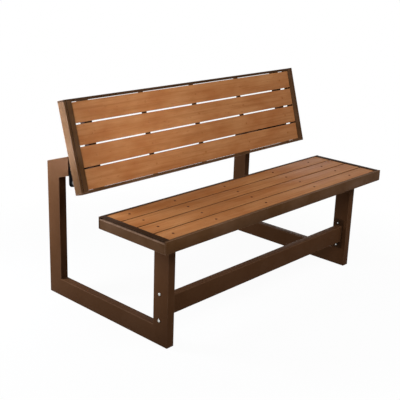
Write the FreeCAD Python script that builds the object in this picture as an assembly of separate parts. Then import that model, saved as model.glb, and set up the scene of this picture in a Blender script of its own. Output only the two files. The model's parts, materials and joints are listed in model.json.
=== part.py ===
import FreeCAD, Part
import math
import os

# Bench whose back turns over to become a table.
# Origin: middle of the footprint, on the floor. X runs along the seat, Y from the
# front to the back, Z is up. Everything is in millimetres.

# Seat and back panels
panel_length = 1397.0
back_length = 1403.0
seat_depth = 356.7
back_height = 361.0
plank_width = 79.2
plank_gap = 6.0
plank_thickness = 16.0
plank_edge = 1.2
plank_count = 4
rail_thickness = 7.0
rail_edge = 1.0
rail_lip = 1.5
screw_radius = 2.4
screw_head_radius = 5.0
screw_head_height = 1.2
screw_length = 30.0
screw_play = 0.1

# Seat
seat_front = -393.2
seat_top = 471.0
seat_rail_height = 46.5
seat_rail_corner = 3.0
seat_lip_width = 12.3
seat_flange_width = 45.0
seat_flange_thickness = 5.0
seat_flange_reach = 650.0
seat_bolt_inset = 33.0
seat_bolt_length = 14.0
seat_bolt_cone = 2.5
seat_plank_reach = 670.0
bearer_rows = [-602.0, -368.0, -70.0, 261.0, 535.0]
screw_steps = [8.0, 13.0, 13.0, 13.0, 13.0]
bearer_width = 60.0
bearer_height = 24.0
bearer_wall = 2.0
end_rail_inner = 671.0
end_rail_shelf = 655.0
end_rail_drop = 5.3
end_rail_round = 5.0
end_rail_corner = 1.5
end_recess_inner = 690.0
end_strip_outer = 695.0
end_strip_thickness = 2.0
shelf_thickness = 5.0

# Side frames, made of rectangular tube
frame_outer = 610.0
tube_width = 36.0
tube_depth = 76.0
tube_wall = 2.0
tube_corner = 2.0
frame_front = -319.4
frame_back = 394.8
glide_height = 2.0
rear_post_top = 582.0
arm_rise = 17.5
arm_front = 257.5
arm_block = 8.0
seat_arm_height = 36.0
seat_arm_front = -375.0
seat_arm_slant = -312.0
seat_arm_nose = 8.0
seat_arm_back = -38.5

# Glides under the frames
glide_length = 60.0
glide_inset = 10.0
glide_side = 8.0
glide_stud_radius = 5.0
glide_stud_height = 9.0

# Stretcher between the front posts
stretcher_height = 76.0
stretcher_depth = 33.0
stretcher_y = -276.5
stretcher_z = 158.0
stretcher_plate_thickness = 5.0
stretcher_plate_width = 45.0
stretcher_plate_height = 140.0
stretcher_bolt_spread = 54.0

# Fasteners
m6 = {"shank": 3.0, "head": 5.75, "head_height": 3.5, "nut_height": 5.0}
m8 = {"shank": 4.0, "head": 7.5, "head_height": 5.3}
m10 = {"shank": 5.0, "head": 9.2, "head_height": 6.4, "nut_height": 8.0}
head_edge = 1.0
bolt_play = 0.2
bolt_tail = 3.0

# Back, leaning behind the seat
back_lean = 16.5
back_foot_y = 55.7
back_foot_z = 533.0
back_thickness = 38.5
back_bottom_lip = 12.6
back_top_lip = 11.4
back_plank_reach = 664.0
back_end_inner = 667.0
back_end_shelf = 652.0
back_end_lip_width = 10.8
back_end_groove = 2.5
back_end_base = 10.0
back_shelf_thickness = 10.0
back_post_x = 592.0
back_post_width = 37.0
back_post_depth = 27.5
batten_rows = [-297.0, 0.0, 297.0]
batten_width = 21.0
batten_depth = 10.0
batten_wall = 2.0

# Hinge between the frame and the back
pivot_y = 222.5
pivot_z = 604.0
back_swing = 73.5
bracket_inner = 578.0
bracket_outer = 606.0
bracket_sheet = 4.0
bracket_top = 18.0
bracket_hub_radius = 24.0
bracket_hub_start = 80.0
bracket_hub_end = 200.0
bracket_rim = 92.0
bracket_rim_end = 254.0
bracket_corner = 12.0
slot_radius = 80.0
slot_half_width = 4.5
slot_bench = 270.0
slot_cap = 12.0
bracket_bolt_z = [562.0, 604.0]
bracket_bolt_length = 22.0

hinge_arm_inner = 588.0
hinge_arm_outer = 596.0
hinge_hub_radius = 22.0
hinge_lobe_radius = 13.0
hinge_flange_inner = 574.0
hinge_flange_outer = 610.0
hinge_flange_thickness = 5.0
hinge_flange_half = 50.0
hinge_plate_half = 45.0
hinge_bolt_across = 11.0
hinge_bolt_along = 35.0
hinge_bolt_length = 18.0
hinge_weld = 1.0

bush_radius = 8.0
bush_play = 0.05
washer_radius = 15.0
washer_play = 0.3
lock_spacer_radius = 8.0
lock_head_radius = 10.0
lock_head_height = 4.0
lock_end = 558.0

knob_collar_radius = 8.0
knob_collar_length = 8.0
knob_radius = 20.0
knob_length = 18.0
knob_lobes = 5
knob_scallop_radius = 8.0
knob_scallop_offset = 24.0
knob_bore_depth = 22.0

# Angles and tolerances
full_turn = 360.0
quarter_turn = 90.0
hex_sides = 6
sharp_corners = 2
straight_within = 0.001
near_within = 1.0

# Values that follow from the ones above
half_length = panel_length / 2
back_half = back_length / 2
frame_inner = frame_outer - tube_width
frame_middle = frame_outer - tube_width / 2
seat_back = seat_front + seat_depth
seat_bottom = seat_top - seat_rail_height
seat_arm_bottom = seat_bottom - seat_arm_height
rail_top = seat_top + rail_lip
plank_pitch = plank_width + plank_gap
plank_total = plank_count * plank_pitch - plank_gap
seat_margin = (seat_depth - plank_total) / 2
back_margin = (back_height - plank_total) / 2
plank_bottom = seat_top - plank_thickness
back_plank_rear = rail_lip + plank_thickness
bearer_bottom = plank_bottom - bearer_height
mitre = tube_depth * math.tan(math.radians(quarter_turn - arm_rise) / 2)
slot_table = slot_bench - back_swing
washer_thickness = (bracket_outer - bracket_inner) / 2 - bracket_sheet
washer_thickness -= (hinge_arm_outer - hinge_arm_inner) / 2 + washer_play


def vector(x, y, z):
    return FreeCAD.Vector(x, y, z)


along_x = vector(1, 0, 0)
along_y = vector(0, 1, 0)
along_z = vector(0, 0, 1)


def box(x0, x1, y0, y1, z0, z1):
    return Part.makeBox(x1 - x0, y1 - y0, z1 - z0, vector(x0, y0, z0))


def rod(radius, start, direction, length):
    return Part.makeCylinder(radius, length, start, direction)


def prism(points, push):
    wire = Part.makePolygon(points + points[:1])
    return Part.Face(wire).extrude(push)


def side_prism(points, x0, x1):
    return prism([vector(x0, y, z) for y, z in points], along_x * (x1 - x0))


def runs_along(edge, direction):
    if len(edge.Vertexes) < 2:
        return False
    run = edge.Vertexes[1].Point - edge.Vertexes[0].Point
    return run.Length > near_within and run.cross(direction).Length < run.Length * straight_within


def round_along(shape, direction, radius):
    edges = [edge for edge in shape.Edges if runs_along(edge, direction)]
    return shape.makeFillet(radius, edges)


def round_near(shape, direction, radius, near):
    edges = []
    for edge in shape.Edges:
        if not runs_along(edge, direction):
            continue
        offset = edge.Vertexes[0].Point - near
        if offset.cross(direction).Length < near_within:
            edges.append(edge)
    return shape.makeFillet(radius, edges)


def mirrored(shape):
    return shape.mirror(vector(0, 0, 0), along_x)


def both_sides(shapes):
    return Part.makeCompound(shapes + [mirrored(shape) for shape in shapes])


def cut_all(shape, tools):
    for tool in tools:
        shape = shape.cut(tool)
    return shape


# Side frames

def frame_tube(outline, hollow, run):
    outer = round_along(side_prism(outline, frame_inner, frame_outer), run, tube_corner)
    inner = side_prism(hollow, frame_inner + tube_wall, frame_outer - tube_wall)
    return outer.cut(inner)


def bottom_rail():
    top = glide_height + tube_depth
    outline = [(frame_front, glide_height), (frame_back, glide_height)]
    outline += [(frame_back - tube_depth, top), (frame_front + tube_depth, top)]
    low = glide_height + tube_wall
    high = top - tube_wall
    hollow = [(frame_front + tube_wall, low), (frame_back - tube_wall, low)]
    hollow += [(frame_back - tube_depth + tube_wall, high), (frame_front + tube_depth - tube_wall, high)]
    rail = frame_tube(outline, hollow, along_y)
    return cut_all(rail, [glide_stud(y, bolt_play) for y in glide_places()])


def front_post():
    inner = frame_front + tube_depth
    top = glide_height + tube_depth
    outline = [(frame_front, glide_height), (inner, top), (inner, seat_arm_bottom)]
    outline += [(frame_front, seat_arm_bottom)]
    hollow = [(frame_front + tube_wall, glide_height + tube_wall), (inner - tube_wall, top - tube_wall)]
    hollow += [(inner - tube_wall, seat_arm_bottom), (frame_front + tube_wall, seat_arm_bottom)]
    post = frame_tube(outline, hollow, along_z)
    return cut_all(post, [stretcher_bolt_shank(z, bolt_play) for z in stretcher_bolt_heights()])


def rear_post():
    inner = frame_back - tube_depth
    top = glide_height + tube_depth
    corner = rear_post_top - mitre
    outline = [(frame_back, glide_height), (frame_back, rear_post_top), (inner, corner), (inner, top)]
    slope = tube_wall * mitre / tube_depth
    behind = frame_back - tube_wall
    ahead = inner + tube_wall
    hollow = [(behind, glide_height + tube_wall), (behind, rear_post_top - slope)]
    hollow += [(ahead, corner + slope), (ahead, top - tube_wall)]
    return frame_tube(outline, hollow, along_z)


def arm_height(y, from_top):
    rise = math.tan(math.radians(arm_rise))
    upper = rear_post_top + (frame_back - y) * rise
    return upper - from_top / math.cos(math.radians(arm_rise))


def top_arm():
    inner = frame_back - tube_depth
    corner = rear_post_top - mitre
    outline = [(frame_back, rear_post_top), (inner, corner)]
    outline += [(arm_front, arm_height(arm_front, tube_depth)), (arm_front, arm_height(arm_front, 0))]
    slope = tube_wall * mitre / tube_depth
    block = arm_front + arm_block
    hollow = [(frame_back - tube_wall, rear_post_top - slope), (inner + tube_wall, corner + slope)]
    hollow += [(block, arm_height(block, tube_depth - tube_wall)), (block, arm_height(block, tube_wall))]
    angle = math.radians(arm_rise)
    arm = frame_tube(outline, hollow, vector(0, -math.cos(angle), math.sin(angle)))
    return cut_all(arm, [bracket_bolt_shank(z, 0) for z in bracket_bolt_z])


def seat_arm_face(x):
    outline = [(seat_arm_back, seat_arm_bottom), (seat_arm_slant, seat_arm_bottom)]
    outline += [(seat_arm_front, seat_bottom - seat_arm_nose), (seat_arm_front, seat_bottom)]
    outline += [(seat_arm_back, seat_bottom)]
    points = [vector(x, y, z) for y, z in outline]
    return Part.Face(Part.makePolygon(points + points[:1]))


def seat_arm():
    arm = seat_arm_face(frame_inner).extrude(along_x * tube_width)
    arm = round_along(arm, along_y, tube_corner)
    hollow = seat_arm_face(frame_inner + tube_wall).makeOffset2D(-tube_wall, sharp_corners)
    arm = arm.cut(hollow.extrude(along_x * (tube_width - 2 * tube_wall)))
    return cut_all(arm, [seat_bolt_shank(y, bolt_play) for y in seat_bolt_places()])


def glide_places():
    front = frame_front + glide_inset + glide_length / 2
    return [front, frame_back - glide_inset - glide_length / 2]


def glide_stud(y, play):
    start = vector(frame_middle, y, glide_height)
    return rod(glide_stud_radius + play, start, along_z, glide_stud_height)


def glide(y):
    half = glide_length / 2
    pad = box(frame_inner + glide_side, frame_outer - glide_side, y - half, y + half, 0, glide_height)
    return pad.fuse(glide_stud(y, 0))


def glides():
    return both_sides([glide(y) for y in glide_places()])


# Stretcher

def stretcher():
    outside = stretcher_bar(stretcher_depth / 2, stretcher_height / 2)
    inside = stretcher_bar(stretcher_depth / 2 - tube_wall, stretcher_height / 2 - tube_wall)
    return round_along(outside, along_x, tube_corner).cut(inside)


def stretcher_bar(deep, high):
    reach = frame_inner - stretcher_plate_thickness
    return box(
        -reach, reach,
        stretcher_y - deep, stretcher_y + deep, stretcher_z - high, stretcher_z + high,
    )


def stretcher_plate():
    wide = stretcher_plate_width / 2
    high = stretcher_plate_height / 2
    plate = box(
        frame_inner - stretcher_plate_thickness, frame_inner,
        stretcher_y - wide, stretcher_y + wide, stretcher_z - high, stretcher_z + high,
    )
    plate = round_along(plate, along_x, tube_corner)
    return cut_all(plate, [stretcher_bolt_shank(z, bolt_play) for z in stretcher_bolt_heights()])


def stretcher_bolt_heights():
    return [stretcher_z - stretcher_bolt_spread, stretcher_z + stretcher_bolt_spread]


def stretcher_bolt_shank(z, play):
    grip = tube_width + stretcher_plate_thickness + m6["nut_height"] + bolt_tail
    return rod(m6["shank"] + play, vector(frame_outer, stretcher_y, z), -along_x, grip)


def stretcher_bolts():
    bolts = []
    for z in stretcher_bolt_heights():
        head = rod(m6["head"], vector(frame_outer, stretcher_y, z), along_x, m6["head_height"])
        head = round_head(head, vector(frame_outer + m6["head_height"], stretcher_y, z))
        bolts.append(head.fuse(stretcher_bolt_shank(z, 0)))
    return both_sides(bolts)


def stretcher_nuts():
    nuts = []
    for z in stretcher_bolt_heights():
        face = vector(frame_inner - stretcher_plate_thickness, stretcher_y, z)
        nuts.append(hex_nut(m6, face, -along_x))
    return both_sides(nuts)


def hexagon(radius, start, direction, height):
    spin = FreeCAD.Rotation(direction, full_turn / hex_sides)
    corner = along_z * radius
    points = []
    for side in range(hex_sides):
        points.append(start + corner)
        corner = spin.multVec(corner)
    return prism(points, direction * height)


def hex_nut(thread, start, direction):
    nut = hexagon(thread["head"], start, direction, thread["nut_height"])
    return nut.cut(rod(thread["shank"], start, direction, thread["nut_height"]))


def round_head(head, top):
    edges = []
    for edge in head.Edges:
        if len(edge.Vertexes) == 1 and (edge.CenterOfMass - top).Length < near_within:
            edges.append(edge)
    return head.makeFillet(head_edge, edges)


# Seat

def seat_bolt_places():
    return [seat_front + seat_bolt_inset, seat_back - seat_bolt_inset]


def seat_bolt_shank(y, play):
    start = vector(frame_middle, y, seat_bottom + seat_flange_thickness)
    return rod(m6["shank"] + play, start, -along_z, seat_bolt_length)


def seat_bolt(y):
    start = vector(frame_middle, y, seat_bottom + seat_flange_thickness)
    head = Part.makeCone(m6["head"], m6["shank"], seat_bolt_cone, start, -along_z)
    return head.fuse(seat_bolt_shank(y, 0))


def seat_bolts():
    return both_sides([seat_bolt(y) for y in seat_bolt_places()])


def seat_front_rail():
    inner = seat_front + rail_thickness
    web = box(-half_length, half_length, seat_front, inner, seat_bottom, rail_top)
    for end in (-half_length, half_length):
        web = round_near(web, along_y, seat_rail_corner, vector(end, seat_front, seat_bottom))
    web = round_near(web, along_x, rail_edge, vector(0, seat_front, rail_top))
    lip = box(-end_rail_inner, end_rail_inner, inner, seat_front + seat_lip_width, seat_top, rail_top)
    flange = box(
        -seat_flange_reach, seat_flange_reach,
        inner, seat_front + seat_flange_width,
        seat_bottom, seat_bottom + seat_flange_thickness,
    )
    rail = web.fuse(lip).fuse(flange)
    bolt = seat_bolt(seat_bolt_places()[0])
    return cut_all(rail, [bolt, mirrored(bolt)]).removeSplitter()


def seat_rear_rail():
    return seat_front_rail().mirror(vector(0, seat_front + seat_depth / 2, 0), along_y)


def seat_end_rail():
    outer = half_length
    shoulder = seat_top - end_rail_drop
    strip = rail_top - end_strip_thickness
    points = [(outer, seat_bottom), (outer, shoulder), (end_recess_inner, shoulder)]
    points += [(end_recess_inner, strip), (end_strip_outer, strip), (end_strip_outer, rail_top)]
    points += [(end_rail_inner, rail_top), (end_rail_inner, plank_bottom)]
    points += [(end_rail_shelf, plank_bottom), (end_rail_shelf, plank_bottom - shelf_thickness)]
    points += [(end_rail_inner, plank_bottom - shelf_thickness), (end_rail_inner, seat_bottom)]
    front = seat_front + rail_thickness
    run = seat_depth - 2 * rail_thickness
    rail = prism([vector(x, front, z) for x, z in points], along_y * run)
    rail = round_near(rail, along_y, end_rail_round, vector(outer, front, shoulder))
    return round_near(rail, along_y, end_rail_corner, vector(outer, front, seat_bottom))


def seat_bearer(index):
    row = bearer_rows[index]
    half = bearer_width / 2
    front = seat_front + rail_thickness
    back = seat_back - rail_thickness
    bearer = box(row - half, row + half, front, back, bearer_bottom, plank_bottom)
    half -= bearer_wall
    low = bearer_bottom + bearer_wall
    high = plank_bottom - bearer_wall
    bearer = bearer.cut(box(row - half, row + half, front, back, low, high))
    return cut_all(bearer, [seat_screw_shank(index, plank, 0) for plank in range(plank_count)])


def seat_plank_front(plank):
    return seat_front + seat_margin + plank * plank_pitch


def seat_plank(plank):
    front = seat_plank_front(plank)
    shape = box(-seat_plank_reach, seat_plank_reach, front, front + plank_width, plank_bottom, seat_top)
    shape = round_along(shape, along_x, plank_edge)
    return cut_all(shape, [seat_screw_shank(index, plank, screw_play) for index in bearer_numbers()])


def bearer_numbers():
    return range(len(bearer_rows))


def seat_screw_place(index, plank):
    middle = (plank_count - 1) / 2
    x = bearer_rows[index] + (plank - middle) * screw_steps[index]
    return vector(x, seat_plank_front(plank) + plank_width / 2, seat_top)


def seat_screw_shank(index, plank, play):
    return rod(screw_radius + play, seat_screw_place(index, plank), -along_z, screw_length)


def seat_screws():
    screws = []
    for index in bearer_numbers():
        for plank in range(plank_count):
            place = seat_screw_place(index, plank)
            head = rod(screw_head_radius, place, along_z, screw_head_height)
            head = round_head(head, place + along_z * screw_head_height)
            screws.append(head.fuse(seat_screw_shank(index, plank, 0)))
    return Part.makeCompound(screws)


# Back, built upright with its front foot at the origin and then leant back

def lean(shape):
    leant = shape.copy()
    leant.rotate(vector(0, 0, 0), along_x, -back_lean)
    leant.translate(vector(0, back_foot_y, back_foot_z))
    return leant


def back_point(depth, height):
    angle = math.radians(back_lean)
    y = back_foot_y + height * math.sin(angle) + depth * math.cos(angle)
    z = back_foot_z + height * math.cos(angle) - depth * math.sin(angle)
    return (y, z)


def pivot_on_back():
    angle = math.radians(back_lean)
    y = pivot_y - back_foot_y
    z = pivot_z - back_foot_z
    return y * math.sin(angle) + z * math.cos(angle)


def back_rail(outer, inner, lip_end):
    rail = box(-back_half, back_half, 0, back_thickness, min(outer, inner), max(outer, inner))
    for depth in (0, back_thickness):
        rail = round_near(rail, along_x, rail_edge, vector(0, depth, outer))
    low = min(inner, lip_end)
    high = max(inner, lip_end)
    return lean(rail.fuse(box(-back_end_inner, back_end_inner, 0, rail_lip, low, high)))


def back_bottom_rail():
    return back_rail(0, rail_thickness, back_bottom_lip)


def back_top_rail():
    return back_rail(back_height, back_height - rail_thickness, back_height - back_top_lip)


def back_end_rail():
    outer = back_half
    lip = outer - back_end_lip_width
    groove = lip - back_end_groove
    base = back_thickness - back_end_base
    shelf_rear = back_plank_rear + back_shelf_thickness
    points = [(outer, back_thickness), (outer, 0), (lip, 0), (lip, base), (groove, base), (groove, 0)]
    points += [(back_end_inner, 0), (back_end_inner, back_plank_rear), (back_end_shelf, back_plank_rear)]
    points += [(back_end_shelf, shelf_rear), (back_end_inner, shelf_rear), (back_end_inner, back_thickness)]
    run = back_height - 2 * rail_thickness
    rail = prism([vector(x, y, rail_thickness) for x, y in points], along_z * run)
    rail = round_near(rail, along_z, rail_edge, vector(outer, 0, rail_thickness))
    return lean(rail)


def back_upright(x, width, depth, wall):
    low = rail_thickness
    high = back_height - rail_thickness
    half = width / 2
    front = back_plank_rear
    tube = box(x - half, x + half, front, front + depth, low, high)
    half -= wall
    return tube.cut(box(x - half, x + half, front + wall, front + depth - wall, low, high))


def back_post():
    post = back_upright(back_post_x, back_post_width, back_post_depth, batten_wall)
    holes = [back_screw_shank(back_post_x, plank, 0) for plank in range(plank_count)]
    holes += [hinge_bolt_shank(x, z, 0) for x, z in hinge_bolt_places()]
    return lean(cut_all(post, holes))


def back_batten(x):
    batten = back_upright(x, batten_width, batten_depth, batten_wall)
    return lean(cut_all(batten, [back_screw_shank(x, plank, 0) for plank in range(plank_count)]))


def back_screw_rows():
    return [-back_post_x] + batten_rows + [back_post_x]


def back_plank_foot(plank):
    return back_margin + plank * plank_pitch


def back_plank(plank):
    foot = back_plank_foot(plank)
    shape = box(
        -back_plank_reach, back_plank_reach, rail_lip, back_plank_rear, foot, foot + plank_width,
    )
    shape = round_along(shape, along_x, plank_edge)
    return lean(cut_all(shape, [back_screw_shank(x, plank, screw_play) for x in back_screw_rows()]))


def back_screw_place(x, plank):
    return vector(x, rail_lip, back_plank_foot(plank) + plank_width / 2)


def back_screw_shank(x, plank, play):
    return rod(screw_radius + play, back_screw_place(x, plank), along_y, screw_length)


def back_screws():
    screws = []
    for x in back_screw_rows():
        for plank in range(plank_count):
            place = back_screw_place(x, plank)
            head = rod(screw_head_radius, place, -along_y, screw_head_height)
            head = round_head(head, place - along_y * screw_head_height)
            screws.append(lean(head.fuse(back_screw_shank(x, plank, 0))))
    return Part.makeCompound(screws)


# Hinge

def around_pivot(radius, degrees):
    angle = math.radians(degrees)
    return (pivot_y + radius * math.cos(angle), pivot_z + radius * math.sin(angle))


def around_slot_end(radius, degrees):
    y, z = around_pivot(slot_radius, slot_table)
    angle = math.radians(degrees)
    return (y + radius * math.cos(angle), z + radius * math.sin(angle))


def bracket_outline(x):
    flat = []
    flat.append((arm_front, pivot_z + bracket_top))
    flat.append(around_pivot(bracket_hub_radius, bracket_hub_start))
    hub_middle = around_pivot(bracket_hub_radius, (bracket_hub_start + bracket_hub_end) / 2)
    flat.append(around_pivot(bracket_hub_radius, bracket_hub_end))
    flat.append(around_slot_end(slot_cap, slot_table - quarter_turn))
    cap_middle = around_slot_end(slot_cap, slot_table - quarter_turn / 2)
    flat.append(around_pivot(bracket_rim, slot_table))
    rim_middle = around_pivot(bracket_rim, (slot_table + bracket_rim_end) / 2)
    rim_end = around_pivot(bracket_rim, bracket_rim_end)
    flat.append(rim_end)
    fall = (arm_front - rim_end[0]) * math.tan(math.radians(slot_bench - bracket_rim_end))
    flat.append((arm_front, rim_end[1] - fall))
    bends = {1: hub_middle, 3: cap_middle, 4: rim_middle}
    edges = []
    for index, start in enumerate(flat):
        end = flat[(index + 1) % len(flat)]
        a = vector(x, start[0], start[1])
        b = vector(x, end[0], end[1])
        if index in bends:
            middle = vector(x, bends[index][0], bends[index][1])
            edges.append(Part.Arc(a, middle, b).toShape())
        else:
            edges.append(Part.makeLine(a, b))
    return Part.Wire(edges), flat[-1]


def slot_end(degrees, turn):
    y, z = around_pivot(slot_radius, degrees)
    angle = math.radians(degrees + turn)
    return (y + slot_half_width * math.cos(angle), z + slot_half_width * math.sin(angle))


def slot_cutter():
    outer = slot_radius + slot_half_width
    inner = slot_radius - slot_half_width
    middle = (slot_table + slot_bench) / 2
    outer_start = around_pivot(outer, slot_table)
    outer_end = around_pivot(outer, slot_bench)
    inner_start = around_pivot(inner, slot_table)
    inner_end = around_pivot(inner, slot_bench)
    bends = [
        (outer_start, around_pivot(outer, middle), outer_end),
        (outer_end, slot_end(slot_bench, quarter_turn), inner_end),
        (inner_end, around_pivot(inner, middle), inner_start),
        (inner_start, slot_end(slot_table, -quarter_turn), outer_start),
    ]
    edges = []
    for bend in bends:
        points = [vector(bracket_inner, y, z) for y, z in bend]
        edges.append(Part.Arc(*points).toShape())
    return Part.Face(Part.Wire(edges)).extrude(along_x * (bracket_outer - bracket_inner))


def hinge_bracket():
    wire, corner = bracket_outline(bracket_inner)
    body = Part.Face(wire).extrude(along_x * (bracket_outer - bracket_inner))
    body = round_near(body, along_x, bracket_corner, vector(bracket_inner, corner[0], corner[1]))
    inside = box(
        bracket_inner + bracket_sheet, bracket_outer - bracket_sheet,
        pivot_y - 2 * bracket_rim, arm_front - bracket_sheet,
        pivot_z - 2 * bracket_rim, pivot_z + 2 * bracket_rim,
    )
    tools = [inside, slot_cutter(), pivot_bolt_shank(bolt_play)]
    tools += [bracket_bolt_shank(z, bolt_play) for z in bracket_bolt_z]
    return cut_all(body, tools)


def bracket_bolt_shank(z, play):
    start = vector(frame_middle, arm_front - bracket_sheet, z)
    return rod(m8["shank"] + play, start, along_y, bracket_bolt_length)


def bracket_bolts():
    bolts = []
    for z in bracket_bolt_z:
        start = vector(frame_middle, arm_front - bracket_sheet, z)
        head = hexagon(m8["head"], start, -along_y, m8["head_height"])
        bolts.append(head.fuse(bracket_bolt_shank(z, 0)))
    return both_sides(bolts)


def pivot_bolt_shank(play):
    grip = bracket_outer - bracket_inner + m10["nut_height"] + bolt_tail
    return rod(m10["shank"] + play, vector(bracket_outer, pivot_y, pivot_z), -along_x, grip)


def pivot_bolts():
    head = hexagon(m10["head"], vector(bracket_outer, pivot_y, pivot_z), along_x, m10["head_height"])
    return both_sides([head.fuse(pivot_bolt_shank(0))])


def pivot_nuts():
    return both_sides([hex_nut(m10, vector(bracket_inner, pivot_y, pivot_z), -along_x)])


def ring(outer_radius, inner_radius, x0, x1, y, z):
    start = vector(x0, y, z)
    return rod(outer_radius, start, along_x, x1 - x0).cut(rod(inner_radius, start, along_x, x1 - x0))


def pivot_bushes():
    inner = bracket_inner + bracket_sheet
    outer = bracket_outer - bracket_sheet
    return both_sides([ring(bush_radius, m10["shank"], inner, outer, pivot_y, pivot_z)])


def pivot_washers():
    inner = bracket_inner + bracket_sheet
    outer = bracket_outer - bracket_sheet
    hole = bush_radius + washer_play
    near = ring(washer_radius, hole, inner, inner + washer_thickness, pivot_y, pivot_z)
    far = ring(washer_radius, hole, outer - washer_thickness, outer, pivot_y, pivot_z)
    return both_sides([near, far])


def tangent_point(centre, radius, target, turn):
    y = target[0] - centre[0]
    z = target[1] - centre[1]
    angle = math.atan2(z, y) + turn * math.acos(radius / math.hypot(y, z))
    return (centre[0] + radius * math.cos(angle), centre[1] + radius * math.sin(angle))


def hinge_plate_outline():
    hub = (pivot_y, pivot_z)
    lobe = (pivot_y, pivot_z - slot_radius)
    depth = back_post_rear() + hinge_flange_thickness - hinge_weld
    upper = back_point(depth, pivot_on_back() + hinge_plate_half)
    lower = back_point(depth, pivot_on_back() - hinge_plate_half)
    tilt = math.asin((hinge_hub_radius - hinge_lobe_radius) / slot_radius)
    points = [tangent_point(hub, hinge_hub_radius, upper, -1), upper, lower]
    points.append(tangent_point(lobe, hinge_lobe_radius, lower, 1))
    for centre, radius in ((lobe, hinge_lobe_radius), (hub, hinge_hub_radius)):
        points.append((centre[0] + radius * math.cos(tilt), centre[1] - radius * math.sin(tilt)))
    return points


def back_post_rear():
    return back_plank_rear + back_post_depth


def hinge_bolt_places():
    places = []
    for x in (-hinge_bolt_across, hinge_bolt_across):
        for z in (-hinge_bolt_along, hinge_bolt_along):
            places.append((frame_middle + x, pivot_on_back() + z))
    return places


def hinge_bolt_shank(x, z, play):
    start = vector(x, back_post_rear() + hinge_flange_thickness, z)
    return rod(m6["shank"] + play, start, -along_y, hinge_bolt_length)


def hinge_bolts():
    bolts = []
    for x, z in hinge_bolt_places():
        start = vector(x, back_post_rear() + hinge_flange_thickness, z)
        head = rod(m6["head"], start, along_y, m6["head_height"])
        head = round_head(head, start + along_y * m6["head_height"])
        bolts.append(lean(head.fuse(hinge_bolt_shank(x, z, 0))))
    return both_sides(bolts)


def hinge_arm():
    plate = side_prism(hinge_plate_outline(), hinge_arm_inner, hinge_arm_outer)
    thick = hinge_arm_outer - hinge_arm_inner
    hub = vector(hinge_arm_inner, pivot_y, pivot_z)
    lobe = vector(hinge_arm_inner, pivot_y, pivot_z - slot_radius)
    plate = plate.fuse(rod(hinge_hub_radius, hub, along_x, thick))
    plate = plate.fuse(rod(hinge_lobe_radius, lobe, along_x, thick))
    rear = back_post_rear()
    foot = pivot_on_back() - hinge_flange_half
    head = pivot_on_back() + hinge_flange_half
    flange = box(
        hinge_flange_inner, hinge_flange_outer, rear, rear + hinge_flange_thickness, foot, head,
    )
    flange = cut_all(flange, [hinge_bolt_shank(x, z, bolt_play) for x, z in hinge_bolt_places()])
    arm = plate.fuse(lean(flange)).removeSplitter()
    arm = arm.cut(rod(bush_radius + bush_play, hub, along_x, thick))
    return arm.cut(rod(m8["shank"] + bolt_play, lobe, along_x, thick))


def lock_bolts():
    y = pivot_y
    z = pivot_z - slot_radius
    under_head = bracket_outer + washer_play
    head = rod(lock_head_radius, vector(under_head, y, z), along_x, lock_head_height)
    head = round_head(head, vector(under_head + lock_head_height, y, z))
    shank = rod(m8["shank"], vector(lock_end, y, z), along_x, under_head - lock_end)
    return both_sides([head.fuse(shank)])


def lock_spacers():
    y = pivot_y
    z = pivot_z - slot_radius
    hole = m8["shank"] + bolt_play
    near = ring(lock_spacer_radius, hole, hinge_arm_inner - washer_thickness, hinge_arm_inner, y, z)
    far = ring(lock_spacer_radius, hole, hinge_arm_outer, hinge_arm_outer + washer_thickness, y, z)
    return both_sides([near, far])


def clamp_knob():
    y = pivot_y
    z = pivot_z - slot_radius
    face = bracket_inner - washer_play
    collar_end = face - knob_collar_length
    star = rod(knob_radius, vector(collar_end, y, z), -along_x, knob_length)
    for lobe in range(knob_lobes):
        angle = math.radians(full_turn / knob_lobes * lobe + quarter_turn)
        side = y + knob_scallop_offset * math.cos(angle)
        up = z + knob_scallop_offset * math.sin(angle)
        star = star.cut(rod(knob_scallop_radius, vector(collar_end, side, up), -along_x, knob_length))
    knob = star.fuse(rod(knob_collar_radius, vector(face, y, z), -along_x, knob_collar_length))
    bore = rod(m8["shank"] + bush_play, vector(face, y, z), -along_x, knob_bore_depth)
    return knob.cut(bore)


# Files

def save(name, shape):
    shape.exportStep("parts/" + name + ".step")
    print(name, len(shape.Solids), round(shape.Volume), shape.isValid())


def save_sides(name, shape):
    save(name + "_right", shape)
    save(name + "_left", mirrored(shape))


def save_series(name, shapes):
    for index, shape in enumerate(shapes):
        save(name + "_" + str(index + 1), shape)


def save_frame():
    save_sides("bottom_rail", bottom_rail())
    save_sides("front_post", front_post())
    save_sides("rear_post", rear_post())
    save_sides("top_arm", top_arm())
    save_sides("seat_arm", seat_arm())
    save_sides("stretcher_plate", stretcher_plate())
    save("stretcher", stretcher())
    save("stretcher_bolts", stretcher_bolts())
    save("stretcher_nuts", stretcher_nuts())
    save("glides", glides())


def save_seat():
    save("seat_front_rail", seat_front_rail())
    save("seat_rear_rail", seat_rear_rail())
    save_sides("seat_end_rail", seat_end_rail())
    save_series("seat_bearer", [seat_bearer(index) for index in bearer_numbers()])
    save_series("seat_plank", [seat_plank(plank) for plank in range(plank_count)])
    save("seat_screws", seat_screws())
    save("seat_bolts", seat_bolts())


def save_back():
    save("back_bottom_rail", back_bottom_rail())
    save("back_top_rail", back_top_rail())
    save_sides("back_end_rail", back_end_rail())
    save_sides("back_post", back_post())
    save_series("back_batten", [back_batten(x) for x in batten_rows])
    save_series("back_plank", [back_plank(plank) for plank in range(plank_count)])
    save("back_screws", back_screws())


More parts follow.
